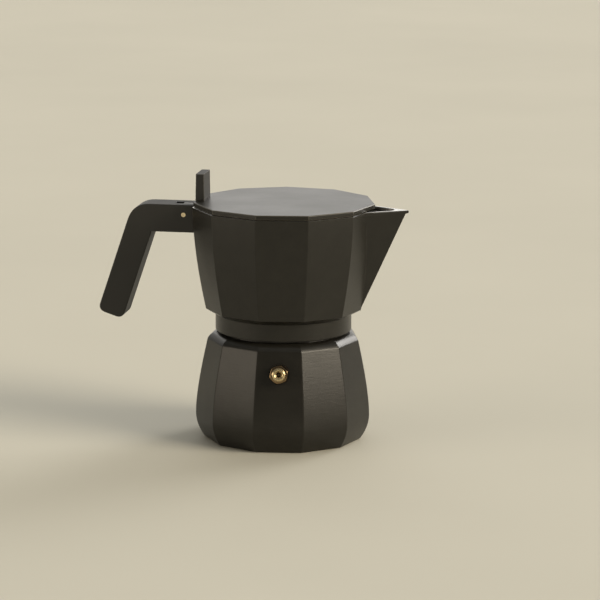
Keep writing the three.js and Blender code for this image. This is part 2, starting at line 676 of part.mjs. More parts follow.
function makeColumn() {
  const footZ = FLOOR_Z + CONTACT;
  const path = new THREE.Path();
  path.moveTo(0, CEILING_Z + COFFEE_ROOM);
  path.lineTo(COLUMN_SPIGOT_R, CEILING_Z + COFFEE_ROOM);
  path.lineTo(COLUMN_SPIGOT_R, footZ);
  path.lineTo(COLUMN_FOOT_R, footZ);
  path.lineTo(COLUMN_FOOT_R, footZ + COLUMN_FOOT_THICK);
  path.quadraticCurveTo(
    COLUMN_TOP_R,
    FLOOR_Z + COLUMN_FLARE_LEAN,
    COLUMN_TOP_R,
    FLOOR_Z + COLUMN_FLARE_RISE,
  );
  path.lineTo(COLUMN_TOP_R, COLUMN_TOP_Z);
  path.lineTo(0, COLUMN_TOP_Z);
  const bore = rod(COLUMN_BORE_R, CEILING_Z, COLUMN_TOP_Z + PAST);
  const slotTop = COLUMN_TOP_Z - COLUMN_CAP_SKIRT - CONTACT;
  const slotZ = slotTop - COLUMN_SLOT_HEIGHT;
  const half = COLUMN_SLOT_WIDTH / 2;
  const slots = block(-half, half, -COLUMN_FOOT_R, COLUMN_FOOT_R, slotZ, slotTop);
  return spun(path, MIDDLE_STEPS, SMALL_CURVE_STEPS).subtract(bore).subtract(slots);
}

function makeColumnCap() {
  const innerR = COLUMN_TOP_R + CONTACT;
  const outerR = innerR + COLUMN_CAP_WALL;
  const lowZ = COLUMN_TOP_Z - COLUMN_CAP_SKIRT;
  const path = new THREE.Path();
  path.moveTo(0, lowZ);
  path.lineTo(outerR, lowZ);
  path.lineTo(outerR, COLUMN_TOP_Z);
  path.quadraticCurveTo(outerR, COLUMN_TOP_Z + COLUMN_CAP_RISE, 0, COLUMN_TOP_Z + COLUMN_CAP_RISE);
  const hollow = rod(innerR, lowZ - PAST, COLUMN_TOP_Z + CONTACT, MIDDLE_STEPS);
  const well = rod(COLUMN_BORE_R, lowZ, COLUMN_TOP_Z + COLUMN_CAP_WELL);
  return spun(path, MIDDLE_STEPS, SMALL_CURVE_STEPS).subtract(hollow).subtract(well);
}

// ---- Lid, with its hinge arm ----

// A solid sector between two angles in degrees, for keeping part of a ring.
function sector(from, to, z0, z1) {
  const shape = new THREE.Shape();
  shape.moveTo(0, 0);
  shape.absarc(0, 0, 2 * LID_R, THREE.MathUtils.degToRad(from), THREE.MathUtils.degToRad(to));
  shape.closePath();
  const extruded = new THREE.ExtrudeGeometry(shape, { depth: z1 - z0, bevelEnabled: false });
  return solid(extruded.translate(0, 0, z0));
}

function rodAcross(radius, width, x, z) {
  const across = new THREE.CylinderGeometry(radius, radius, width, SMALL_STEPS);
  return solid(across.translate(x, 0, z));
}

// The arm's side view: a hub round the pin, and a bar through the rim's notch to the lid's underside.
function armOutline() {
  const dip = ARM_TOP - HINGE_Z - HUB_R;
  const rootX = REAR_X + COLLECTOR_WALL + ARM_ROOT;
  const rearX = LID_REAR_X + LID_EDGE;
  const insideLid = LID_Z + LID_THICK / 2;
  const hubEnd = 2 * Math.PI + Math.asin((ARM_UNDER - HINGE_Z) / HUB_R);
  const shape = new THREE.Shape();
  shape.moveTo(rearX, insideLid);
  shape.lineTo(rearX, ARM_TOP);
  shape.lineTo(HINGE_X - dip, ARM_TOP);
  shape.lineTo(HINGE_X - HUB_R, HINGE_Z + HUB_R / 2);
  shape.absarc(HINGE_X, HINGE_Z, HUB_R, Math.PI, hubEnd);
  shape.lineTo(rootX - ARM_ROOT_SLOPE, ARM_UNDER);
  shape.lineTo(rootX, LID_Z);
  shape.lineTo(rootX, insideLid);
  shape.closePath();
  return shape;
}

function countersunk(radius, headR, headThick, length) {
  return turned([
    [0, 0],
    [headR, 0],
    [radius, headThick],
    [radius, length],
    [0, length],
  ]);
}

function knobScrewPlace(side) {
  return new THREE.Matrix4().makeTranslation(KNOB_X, side * KNOB_SCREW_SPREAD, LID_Z);
}

function screwPlace() {
  return new THREE.Matrix4().makeTranslation(HINGE_X - SCREW_PAST_PIN, 0, SCREW_HEAD_Z);
}

// The clearance cut round a countersunk screw that stands at zero and points up.
function screwCut(radius, headR, headThick, length) {
  const cut = countersunk(radius + CONTACT, headR + CONTACT, headThick, length);
  return cut.add(rod(headR + CONTACT, -PAST, MELD));
}

function makeLid() {
  const shift = new THREE.Matrix4().makeTranslation(LID_SHIFT, 0, 0);
  const plate = turned(
    [
      [0, LID_Z],
      [LID_R, LID_Z],
      [LID_R, LID_TOP - LID_EDGE],
      [LID_R - LID_EDGE, LID_TOP],
      [0, LID_TOP],
    ],
    SIDES,
  );
  const recess = rod(LID_R - LID_BORDER, LID_Z - PAST, LID_Z + LID_RECESS, SIDES);
  const lipR = COLLECTOR_RIM_R - (COLLECTOR_WALL + LIP_CLEARANCE) / FLAT;
  const lipZ = LID_Z - LIP_DEPTH;
  const lipRing = rod(lipR, lipZ, LID_Z + LID_RECESS + MELD, SIDES);
  const lipHole = rod(lipR - LIP_WIDTH / FLAT, lipZ - PAST, LID_TOP, SIDES);
  const lipSides = sector(LIP_FROM, LIP_TO, lipZ - PAST, LID_TOP);
  const lipEnds = lipSides.add(sector(-LIP_TO, -LIP_FROM, lipZ - PAST, LID_TOP));
  const lip = lipRing.subtract(lipHole).intersect(lipEnds);
  const arm = slab(armOutline(), ARM_WIDTH);
  const pinHole = rodAcross(PIN_R + PIN_FIT, 2 * ARM_WIDTH, HINGE_X, HINGE_Z);
  const screwHole = screwCut(KNOB_SCREW_R, KNOB_SCREW_HEAD_R, KNOB_SCREW_HEAD_THICK, 2 * LID_THICK);
  const screwHoles = [-1, 1].map((side) => placed(screwHole, knobScrewPlace(side)));
  const body = placed(plate.subtract(recess), shift).add(lip).add(arm);
  return [pinHole, ...screwHoles].reduce((left, cut) => left.subtract(cut), body);
}

// ---- Knob and screws ----

// A cross recess cut into a screw's head at zero, its arms along X and Y.
function crossRecess(reach, depth) {
  const half = RECESS_WIDTH / 2;
  const along = block(-reach, reach, -half, half, -PAST, depth);
  return along.add(block(-half, half, -reach, reach, -PAST, depth));
}

function makeKnobScrew() {
  const length = LID_THICK + KNOB_SCREW_GRIP;
  const screw = countersunk(KNOB_SCREW_R, KNOB_SCREW_HEAD_R, KNOB_SCREW_HEAD_THICK, length);
  return screw.subtract(crossRecess(KNOB_RECESS_REACH, KNOB_RECESS_DEPTH));
}

function makeKnob() {
  const lowZ = LID_TOP + CONTACT;
  const half = KNOB_THICK / 2;
  const shape = outline([
    [KNOB_X - half, lowZ],
    [KNOB_X + half, lowZ],
    [KNOB_X + half - KNOB_DRAFT, lowZ + KNOB_HEIGHT],
    [KNOB_X - half + KNOB_DRAFT, lowZ + KNOB_HEIGHT],
  ]);
  const bore = rod(KNOB_SCREW_R + CONTACT, 0, LID_THICK + KNOB_SCREW_GRIP + CONTACT);
  const bores = [-1, 1].map((side) => placed(bore, knobScrewPlace(side)));
  return bores.reduce((left, next) => left.subtract(next), slab(shape, KNOB_WIDTH, KNOB_EDGE));
}

// ---- Handle, its screw and the hinge pin ----

// The handle's side view: a level arm, a soft outer bend and a straight grip cut square at its end.
function handleOutline() {
  const lean = THREE.MathUtils.degToRad(HANDLE_GRIP_LEAN);
  const down = new THREE.Vector2(-Math.sin(lean), -Math.cos(lean));
  const across = new THREE.Vector2(Math.cos(lean), -Math.sin(lean));
  const corner = new THREE.Vector2(REAR_X - HANDLE_REACH, HANDLE_TOP);
  const at = (along, inward) => corner.clone().addScaledVector(down, along).addScaledVector(across, inward);
  const underZ = HANDLE_TOP - HANDLE_THICK;
  const innerStart = (at(0, HANDLE_GRIP_THICK).y - underZ) / Math.cos(lean);
  const bendStart = corner.x + HANDLE_CORNER;
  const end = HANDLE_GRIP_LENGTH;
  const r = HANDLE_END_R;
  const shape = new THREE.Shape();
  shape.moveTo(0, HANDLE_TOP);
  shape.lineTo(bendStart, HANDLE_TOP);
  shape.quadraticCurveTo(corner.x, corner.y, ...at(HANDLE_CORNER, 0));
  shape.lineTo(...at(end - r, 0));
  shape.quadraticCurveTo(...at(end, 0), ...at(end, r));
  shape.lineTo(...at(end, HANDLE_GRIP_THICK - r));
  shape.quadraticCurveTo(...at(end, HANDLE_GRIP_THICK), ...at(end - r, HANDLE_GRIP_THICK));
  shape.lineTo(...at(innerStart, HANDLE_GRIP_THICK));
  shape.lineTo(0, underZ);
  shape.closePath();
  return shape;
}

function makeHandle() {
  const body = slab(handleOutline(), HANDLE_WIDTH, HANDLE_EDGE);
  const potSide = spun(collectorOutline(-SEAT, EDGE_Z, RIM_Z), SIDES);
  const rimSide = rod(COLLECTOR_RIM_R + SEAT / FLAT, RIM_Z - MELD, HANDLE_TOP + PAST, SIDES);
  const slotY = ARM_WIDTH / 2 + ARM_SIDE_GAP;
  const slotBack = ARM_TOP - HINGE_Z + SLOT_BACK_GAP;
  const slot = block(HINGE_X - slotBack, 0, -slotY, slotY, LUG_TOP, HANDLE_TOP + PAST);
  const lugY = LUG_WIDTH / 2 + SEAT;
  const pocketLow = LUG_TOP - LUG_THICK - SEAT;
  const pocket = block(HINGE_X - LUG_PAST_PIN - SEAT, 0, -lugY, lugY, pocketLow, LUG_TOP + SEAT);
  const pinHole = rodAcross(PIN_R + PIN_FIT, 2 * HANDLE_WIDTH, HINGE_X, HINGE_Z);
  const screwDepth = pocketLow - SCREW_HEAD_Z + PAST;
  const screwHole = screwCut(SCREW_R, SCREW_HEAD_R, SCREW_HEAD_THICK, screwDepth);
  const cuts = [potSide, rimSide, slot, pocket, pinHole, placed(screwHole, screwPlace())];
  return cuts.reduce((left, cut) => left.subtract(cut), body);
}

function makeHandleScrew() {
  const screw = countersunk(SCREW_R, SCREW_HEAD_R, SCREW_HEAD_THICK, LUG_TOP - SCREW_HEAD_Z);
  return screw.subtract(crossRecess(SCREW_RECESS_REACH, SCREW_RECESS_DEPTH));
}

function makeHingePin() {
  const length = HANDLE_WIDTH - 2 * PIN_SHORT;
  const pin = rodAcross(PIN_R, length, HINGE_X, HINGE_Z);
  const dimple = rodAcross(PIN_DIMPLE_R, 2 * PIN_DIMPLE_DEPTH, HINGE_X, HINGE_Z);
  const ends = [-1, 1].map((side) => new THREE.Matrix4().makeTranslation(0, (side * length) / 2, 0));
  return ends.reduce((left, end) => left.subtract(placed(dimple, end)), pin);
}

// ---- Assembly ----

const valvePlace = valveFrame();
const discR = BASKET_R - SHEET - CONTACT;
add("boiler", makeBoiler(valvePlace), COATED);
makeValve(valvePlace);
add("funnel", makeFunnel(), ALUMINIUM);
add("funnel_disc", perforatedDisc(discR, BASKET_FLOOR_Z + CONTACT, DISC_RINGS), ALUMINIUM);
add("gasket", makeGasket(), SILICONE);
add("filter_plate", perforatedDisc(FILTER_R, GASKET_TOP - PLATE_THICK, FILTER_RINGS), ALUMINIUM);
add("collector", makeCollector(), COATED);
add("column", makeColumn(), ALUMINIUM);
add("column_cap", makeColumnCap(), ALUMINIUM);
add("lid", makeLid(), COATED);
add("knob", makeKnob(), PLASTIC);
add("knob_screw_left", makeKnobScrew(), STEEL, groupAt(KNOB_X, -KNOB_SCREW_SPREAD, LID_Z));
add("knob_screw_right", makeKnobScrew(), STEEL, groupAt(KNOB_X, KNOB_SCREW_SPREAD, LID_Z));
add("handle", makeHandle(), PLASTIC);
add("handle_screw", makeHandleScrew(), STEEL, groupAt(HINGE_X - SCREW_PAST_PIN, 0, SCREW_HEAD_Z));
add("hinge_pin", makeHingePin(), BRASS);

export default pot;
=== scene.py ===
"""The looks of a faceted stove-top coffee pot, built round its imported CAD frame. Lengths are metres."""
import json
import math

import bmesh
import bpy
from mathutils import Matrix, Vector
from mathutils.geometry import delaunay_2d_cdt


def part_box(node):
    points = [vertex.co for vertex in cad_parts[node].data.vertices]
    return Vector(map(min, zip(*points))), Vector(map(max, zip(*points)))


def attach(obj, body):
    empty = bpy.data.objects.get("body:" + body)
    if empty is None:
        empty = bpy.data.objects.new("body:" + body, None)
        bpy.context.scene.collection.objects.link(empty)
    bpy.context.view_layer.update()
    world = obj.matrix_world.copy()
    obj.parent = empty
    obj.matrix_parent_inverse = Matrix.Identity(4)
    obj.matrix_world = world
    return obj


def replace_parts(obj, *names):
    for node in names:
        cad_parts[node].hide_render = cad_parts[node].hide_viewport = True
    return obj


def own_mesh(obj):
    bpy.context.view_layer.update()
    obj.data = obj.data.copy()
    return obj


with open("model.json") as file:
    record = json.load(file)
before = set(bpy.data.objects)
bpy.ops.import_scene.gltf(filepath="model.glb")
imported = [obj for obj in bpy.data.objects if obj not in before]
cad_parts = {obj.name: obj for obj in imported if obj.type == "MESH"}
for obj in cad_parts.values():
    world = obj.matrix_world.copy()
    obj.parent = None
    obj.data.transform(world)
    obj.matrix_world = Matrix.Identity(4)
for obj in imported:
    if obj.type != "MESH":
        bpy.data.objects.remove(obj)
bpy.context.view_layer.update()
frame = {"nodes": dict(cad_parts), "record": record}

MM = 0.001
RECORD = frame["record"]
SLOTS = {part["node"]: part["material_slot"] for part in RECORD["subparts"]}
BODIES = {node: body for body, nodes in RECORD["behaviour"]["bodies"].items() for node in nodes}
JOINTS = {joint["name"]: joint for joint in RECORD["behaviour"]["joints"]}

# ---- Camera ----

VIEW_AZIMUTH = math.radians(9.37)
VIEW_ELEVATION = math.radians(11.3)
VIEW_ROLL = math.radians(0.33)
VIEW_DISTANCE = 1.648
VIEW_LENS = 180
VIEW_CLIP = 60  # further than any corner of the floor
VIEW_TARGET = Vector((9.14 * MM, 0, 76.55 * MM))


def make_camera():
    """A camera that looks at the target from its azimuth and elevation, with a little roll."""
    side, ahead = math.sin(VIEW_AZIMUTH), math.cos(VIEW_AZIMUTH)
    rise, level = math.sin(VIEW_ELEVATION), math.cos(VIEW_ELEVATION)
    back = Vector((side * level, -ahead * level, rise))
    right = Vector((ahead, side, 0))
    up = back.cross(right)
    rolled_right = math.cos(VIEW_ROLL) * right + math.sin(VIEW_ROLL) * up
    rolled_up = math.cos(VIEW_ROLL) * up - math.sin(VIEW_ROLL) * right
    camera = bpy.data.objects.new("camera", bpy.data.cameras.new("camera"))
    camera.data.lens = VIEW_LENS
    camera.data.clip_end = VIEW_CLIP
    axes = Matrix((rolled_right, rolled_up, back)).transposed().to_4x4()
    camera.matrix_world = Matrix.Translation(VIEW_TARGET + VIEW_DISTANCE * back) @ axes
    bpy.context.scene.collection.objects.link(camera)
    bpy.context.scene.camera = camera


# ---- Materials ----

NOISE_LOW, NOISE_HIGH = 0.3, 0.7  # nearly all of a noise's values lie between these


def add_node(tree, kind, inputs, **settings):
    """Adds a shader node, with a value or another node's output for each input, by its name or number."""
    node = tree.nodes.new("ShaderNode" + kind)
    for name, value in settings.items():
        setattr(node, name, value)
    for key, value in inputs.items():
        if isinstance(value, bpy.types.NodeSocket):
            tree.links.new(value, node.inputs[key])
        else:
            node.inputs[key].default_value = value
    return node


class Shader:
    """A material's node tree, with short ways to add the nodes that the finishes share."""

    def __init__(self, name):
        self.material = bpy.data.materials.new(name)
        self.material.use_nodes = True
        self.tree = self.material.node_tree
        self.surface = self.tree.nodes["Principled BSDF"]
        self.place = self.add("TexCoord", {}).outputs["Object"]

    def add(self, kind, inputs, **settings):
        return add_node(self.tree, kind, inputs, **settings)

    def set(self, **values):
        """Sets inputs of the surface that are the same all over it."""
        for name, value in values.items():
            self.surface.inputs[name].default_value = value

    def link(self, output, name):
        self.tree.links.new(output, self.surface.inputs[name])

    def noise(self, scale, detail=3, rough=0.55, stretch=None):
        place = self.place
        if stretch:
            place = self.add("Mapping", {"Vector": place, "Scale": stretch}).outputs["Vector"]
        inputs = {"Vector": place, "Scale": scale, "Detail": detail, "Roughness": rough}
        return self.add("TexNoise", inputs).outputs["Fac"]

    def rings(self, scale):
        """Turning marks round the pot's axis."""
        inputs = {"Vector": self.place, "Scale": scale, "Distortion": 0.6, "Detail": 2}
        return self.add("TexWave", inputs, wave_type="RINGS", rings_direction="Z").outputs["Fac"]

    def spread(self, noise, low, high):
        """Maps a noise onto the numbers from low to high."""
        ends = {"From Min": NOISE_LOW, "From Max": NOISE_HIGH, "To Min": low, "To Max": high}
        return self.add("MapRange", {"Value": noise, **ends}).outputs["Result"]

    def colours(self, noise, *stops):
        """Colours from one stop to the next, each stop a place from 0 to 1 and its colour."""
        node = self.add("ValToRGB", {"Fac": noise})
        elements = node.color_ramp.elements
        while len(elements) < len(stops):
            elements.new(0.5)
        for element, (position, colour) in zip(elements, stops):
            element.position = position
            element.color = (*colour, 1)
        return node.outputs["Color"]

    def bump(self, *layers):
        """Adds bumps, each a height, a distance in metres and a strength, one on top of the other."""
        below = {}
        for height, distance, strength in layers:
            inputs = {"Height": height, "Distance": distance, "Strength": strength, **below}
            below = {"Normal": self.add("Bump", inputs).outputs["Normal"]}
        self.link(below["Normal"], "Normal")


def lightened_for_highlight(colour, highlight_gain):
    """A colour made lighter by the gain: where the gain is above one, a painted highlight on rounded
    edges.
    """
    return tuple(highlight_gain * part for part in colour)


COATING_DARK = (0.0100, 0.0090, 0.0066)
COATING_LIGHT = (0.0145, 0.0132, 0.0100)
PLASTIC_DARK = (0.0180, 0.0176, 0.0158)
PLASTIC_LIGHT = (0.0230, 0.0226, 0.0204)


def satin_coating(name, highlight_gain=1):
    """A satin dark coating over brushed cast metal, with a fine grain and a slightly uneven sheen."""
    shader = Shader(name)
    grain = shader.noise(2400)
    brush = shader.noise(1500, detail=4, stretch=(0.1, 0.1, 1))
    mottle = shader.noise(110, detail=5, rough=0.6)
    cloud = shader.noise(22)
    # A gain above one lightens the colour: a painted highlight.
    stops = (NOISE_LOW, lightened_for_highlight(COATING_DARK, highlight_gain)), (NOISE_HIGH, lightened_for_highlight(COATING_LIGHT, highlight_gain))
    shader.link(shader.colours(mottle, *stops), "Base Color")
    shader.link(shader.spread(cloud, 0.31, 0.38), "Roughness")
    shader.set(IOR=1.43)
    shader.bump((cloud, 0.0005, 0.3), (grain, 0.00005, 0.5), (brush, 0.00008, 0.55))
    return shader.material


def moulded_plastic(name, highlight_gain=1, smooth=0.56, rough=0.64):
    """Moulded plastic with a fine eroded texture."""
    shader = Shader(name)
    grain = shader.noise(3000, detail=2)
    flow = shader.noise(45, stretch=(1, 1, 0.35))
    # A gain above one lightens the colour: a painted highlight.
    stops = (0.35, lightened_for_highlight(PLASTIC_DARK, highlight_gain)), (0.65, lightened_for_highlight(PLASTIC_LIGHT, highlight_gain))
    shader.link(shader.colours(flow, *stops), "Base Color")
    shader.link(shader.spread(flow, smooth, rough), "Roughness")
    shader.set(IOR=1.45)
    shader.bump((flow, 0.0003, 0.2), (grain, 0.00005, 0.6))
    return shader.material


def bare_metal(name, dark, light, smooth, rough, marks):
    """Bare metal with a little staining. Marks adds the tool marks that bump it."""
    shader = Shader(name)
    stain = shader.noise(140, detail=4)
    shader.link(shader.colours(stain, (NOISE_LOW, dark), (NOISE_HIGH, light)), "Base Color")
    shader.link(shader.spread(stain, rough, smooth), "Roughness")
    shader.set(Metallic=1.0)
    shader.bump((marks(shader), 0.00003, 0.4))
    return shader.material


def pliable(name, dark, light, rough):
    """Silicone or pressed fibre."""
    shader = Shader(name)
    cloud = shader.noise(90)
    grain = shader.noise(1800, detail=2)
    shader.link(shader.colours(cloud, (NOISE_LOW, dark), (NOISE_HIGH, light)), "Base Color")
    shader.link(shader.spread(grain, rough, rough + 0.1), "Roughness")
    shader.bump((grain, 0.00005, 0.4))
    return shader.material


def turned(shader):
    return shader.noise(1500, detail=2, stretch=(1, 1, 3))


def polished(shader):
    return shader.noise(1500, detail=2)


def spun(shader):
    return shader.rings(900)


def drawn(shader):
    return shader.noise(1200, detail=2, stretch=(4, 1, 1))


# A finish for each of the record's material slots, with a polished one among them, lighter ones that
# paint highlights on rounded edges, and a darker brass that paints shade on the valve
FINISHES = {
    "coated_body": satin_coating("satin_coating"),
    # Painted highlight: the coating six times lighter, for the lid's rounded edges.
    "painted_highlight_coating": satin_coating("painted_highlight_coating", highlight_gain=6),
    "black_plastic": moulded_plastic("moulded_plastic"),
    # Painted highlight: the plastic three times lighter, and smoother, for the knob's rounded edges.
    "painted_highlight_plastic": moulded_plastic("painted_highlight_plastic", highlight_gain=3, smooth=0.3, rough=0.4),
    "brass": bare_metal(
        "turned_brass", (0.64, 0.50, 0.28), (0.78, 0.63, 0.38), smooth=0.22, rough=0.30, marks=turned
    ),
    "polished_brass": bare_metal(
        "polished_brass", (0.80, 0.66, 0.42), (0.88, 0.76, 0.54), smooth=0.3, rough=0.38, marks=polished
    ),
    # Painted shade: a dark brass for the valve's hexagon, its vent and its stem, which are the same brass
    # as the boss.
    "painted_shade_brass": bare_metal(
        "painted_shade_brass", (0.15, 0.100, 0.054), (0.27, 0.188, 0.106), smooth=0.17, rough=0.27, marks=turned
    ),
    "bare_aluminium": bare_metal(
        "bare_aluminium", (0.58, 0.58, 0.57), (0.72, 0.71, 0.70), smooth=0.27, rough=0.38, marks=spun
    ),
    "bright_steel": bare_metal(
        "bright_steel", (0.50, 0.49, 0.47), (0.62, 0.61, 0.59), smooth=0.2, rough=0.3, marks=drawn
    ),
    "white_silicone": pliable("white_silicone", (0.66, 0.64, 0.58), (0.74, 0.72, 0.66), rough=0.55),
    "red_fibre": pliable("red_fibre", (0.15, 0.035, 0.022), (0.22, 0.055, 0.032), rough=0.75),
}

# ---- Pieces ----

SHARP = math.radians(18)  # an edge that turns more than this is rounded
FLAT = math.radians(0.2)  # an edge that turns less than this is taken out
SAME_POINT = 1e-7  # corners closer than this are merged
EDGE_SHARE = 0.35  # most of the room beside an edge that a rounding takes
LEAST_EDGE = 0.02 * MM  # an edge with less rounding than this stays as it is
CRISP_EDGE = 0.14 * MM  # rounding of an edge that was machined


def place(piece, body, slot, *finishes):
    """Gives a piece its finish, the slot's own where no other is given, puts it under its body, and
    shades it smooth.
    """
    held = piece.data.materials
    for index, finish in enumerate(finishes or (slot,)):
        if index < len(held):
            held[index] = FINISHES[finish]
        else:
            held.append(FINISHES[finish])
    piece.data.shade_smooth()
    bpy.context.scene.collection.objects.link(piece)
    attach(piece, body)
    return piece


def soften(piece, edge, steps=3, rounded=-1):
    """Rounds the weighted edges, and lets each flat face keep its own direction."""
    bevel = piece.modifiers.new("rounded_edges", "BEVEL")
    # The rounded faces take this finish; on the lid and the knob it is a lighter one, a painted
    # highlight.
    bevel.material = rounded
    bevel.limit_method = "WEIGHT"
    bevel.width = edge
    bevel.segments = steps
    bevel.use_clamp_overlap = False
    normals = piece.modifiers.new("face_normals", "WEIGHTED_NORMAL")
    normals.mode = "FACE_AREA"
    normals.weight = 100
    normals.keep_sharp = False


def reach(point, line):
    """How far a point is from an edge."""
    start, end = (vert.co for vert in line.verts)
    along = end - start
    share = max(0, min(1, (point - start).dot(along) / along.length_squared))
    return (point - start - share * along).length


def room_beside(line):
    """How far an edge is from the rest of its faces and from the far ends of its neighbours."""
    room = min(near.calc_length() for end in line.verts for near in end.link_edges)
    for face in line.link_faces:
        for other in face.edges:
            if not set(other.verts) & set(line.verts):
                gaps = [reach(vert.co, line) for vert in other.verts]
                gaps += [reach(vert.co, other) for vert in line.verts]
                room = min(room, *gaps)
    return room


def weigh_edges(form, edge, crisp=None):
    """Marks the sharp edges, each with the share of the rounding that there is room for."""
    weight = form.edges.layers.float.new("bevel_weight_edge")
    for line in form.edges:
        widest = CRISP_EDGE if crisp and crisp(line) else edge
        width = min(widest, EDGE_SHARE * room_beside(line)) if line.calc_face_angle(0) > SHARP else 0
        if width > LEAST_EDGE:
            line[weight] = width / edge


def refined(node, name, edge, bare=None, second="bare_aluminium", edge_highlight=None, crisp=None):
    """A CAD node's form with its edges rounded, and the rounded faces given a finish of their own where
    one is given, a lighter finish that paints a highlight on them.

    Faces that bare picks have the second finish. Edges that crisp picks are rounded less.
    """
    mesh = frame["nodes"][node].data.copy()
    form = bmesh.new()
    form.from_mesh(mesh)
    bmesh.ops.remove_doubles(form, verts=form.verts, dist=SAME_POINT)
    bmesh.ops.dissolve_limit(form, angle_limit=FLAT, verts=form.verts, edges=form.edges)
    weigh_edges(form, edge, crisp)
    for face in form.faces:
        face.material_index = int(bool(bare and bare(face)))
    form.to_mesh(mesh)
    form.free()
    mesh.name = name
    if "custom_normal" in mesh.attributes:
        mesh.attributes.remove(mesh.attributes["custom_normal"])
    piece = bpy.data.objects.new(name, mesh)
    # The rounded faces take the second finish, a painted highlight, where one is given.
    soften(piece, edge, rounded=1 if edge_highlight else -1)
    finishes = (SLOTS[node], edge_highlight or second) if edge_highlight or bare else ()
    place(piece, BODIES[node], SLOTS[node], *finishes)
    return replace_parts(piece, node)


def built(name, form, body, slot, edge=0, finishes=()):
    """A new piece from a form made here."""
    bmesh.ops.recalc_face_normals(form, faces=form.faces)
    if edge:
        weigh_edges(form, edge)
    mesh = bpy.data.meshes.new(name)
    form.to_mesh(mesh)
    form.free()
    piece = bpy.data.objects.new(name, mesh)
    if edge:
        soften(piece, edge, steps=2)
    return place(piece, body, slot, *finishes)


# How much of a face's normal points one way, where the face counts as looking that way
SQUARELY = 0.9
DOWNWARD = -0.4
INWARD = -0.25
ASIDE = 0.5  # a wall looks up less than this

# Heights and a radius that part the bare faces from the coated ones
ABOVE_FLOOR = 5 * MM  # in the boiler, above its inner floor
BELOW_NECK = 62 * MM  # in the boiler, between its shoulder and the neck's end
ABOVE_BASE = 0.5 * MM  # in the boiler, between its base and its foot's lowest slope
BELOW_ROOF = 40 * MM  # in the boiler, below its inner roof and the top of the valve's hole
DISH_LOW, DISH_HIGH = 66 * MM, 80 * MM  # below and above the collector's floor
DISH_R = 35.5 * MM  # round that floor
SPOUT_X = 44 * MM
LID_DEPTH = 2.8 * MM  # from the lid's top down to the rim
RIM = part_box("lid")[1].z - LID_DEPTH  # top of the collector, under the lid
RIM_FACE = 0.3 * MM  # a face less than this below the rim is part of it
RIM_EDGE = 0.05 * MM  # and so is an edge this close


def faces_axis(face):
    """True where a face looks towards the pot's axis."""
    middle = face.calc_center_median()
    return face.normal.dot(Vector((middle.x, middle.y, 0)).normalized()) < INWARD


def bare_in_boiler(face):
    """The uncoated inside, the neck's end and the ground base."""
    height = face.calc_center_median().z
    floor_or_end = face.normal.z > SQUARELY and not ABOVE_FLOOR < height < BELOW_NECK
    base_or_roof = face.normal.z < DOWNWARD and not ABOVE_BASE < height < BELOW_ROOF
    return faces_axis(face) or floor_or_end or base_or_roof


def bare_in_collector(face):
    """The uncoated inside, the underside within the skirt and the ground rim."""
    middle = face.calc_center_median()
    channel = middle.x > SPOUT_X and face.normal.y * middle.y < 0
    within = math.hypot(middle.x, middle.y) < DISH_R and DISH_LOW < middle.z < DISH_HIGH
    level = within and abs(face.normal.z) > SQUARELY
    rim = face.normal.z > SQUARELY and middle.z > RIM - RIM_FACE
    return faces_axis(face) or channel or level or rim


def rim_outside(line):
    """True for the edges round the outside of the ground rim, but for the spout's."""
    middle = (line.verts[0].co + line.verts[1].co) / 2
    walls = [face for face in line.link_faces if face.normal.z < ASIDE]
    level = all(abs(vert.co.z - RIM) < RIM_EDGE for vert in line.verts)
    return level and middle.x < SPOUT_X and walls and not faces_axis(walls[0])


def pin_end(face):
    """The polished ends of the hinge's pin."""
    return abs(face.normal.y) > SQUARELY


# Threads on the neck and in the skirt. Each has a root, a crest and the back of its sleeve, as radii,
# and how far it is turned, as a share of a turn.
NECK_THREAD = (34.5 * MM, 34.92 * MM, 34.2 * MM, 0)
SKIRT_THREAD = (35.0 * MM, 34.66 * MM, 35.4 * MM, 0.5)
PITCH = 3 * MM
THREAD_LOW = 60.8 * MM
THREAD_HIGH = 66.2 * MM
THREAD_FADE = 1.2 * MM
RIDGE_HALF = 0.3  # half the ridge's width, as a share of the pitch
RIDGE_SLOPE = 0.16  # width of each of its flanks, as such a share too
AROUND = 144  # steps round a thread
UP = 54  # steps from its low end to its high end


def smooth(t):
    t = max(0, min(1, t))
    return t * t * (3 - 2 * t)


def threaded(name, body, root, crest, back, shift):
    """A thin sleeve with a helical ridge that rises from the root radius to the crest."""
    form = bmesh.new()
    rows = []
    for step in range(UP + 1):
        z = THREAD_LOW + (THREAD_HIGH - THREAD_LOW) * step / UP
        fade = smooth((z - THREAD_LOW) / THREAD_FADE) * smooth((THREAD_HIGH - z) / THREAD_FADE)
        ring = []
        for k in range(AROUND):
            phase = (z / PITCH - k / AROUND + shift) % 1
            ridge = smooth((RIDGE_HALF - abs(phase - 0.5)) / RIDGE_SLOPE)
            r = root + (crest - root) * ridge * fade
            turn = 2 * math.pi * k / AROUND
            ring.append(form.verts.new((r * math.cos(turn), r * math.sin(turn), z)))
        rows.append(ring)
    for z in (THREAD_HIGH, THREAD_LOW):
        turns = (2 * math.pi * k / AROUND for k in range(AROUND))
        rows.append([form.verts.new((back * math.cos(t), back * math.sin(t), z)) for t in turns])
    for low, high in zip(rows, rows[1:] + rows[:1]):
        for k in range(AROUND):
            after = (k + 1) % AROUND
            form.faces.new((low[k], low[after], high[after], high[k]))
    return built(name, form, body, "bare_aluminium")


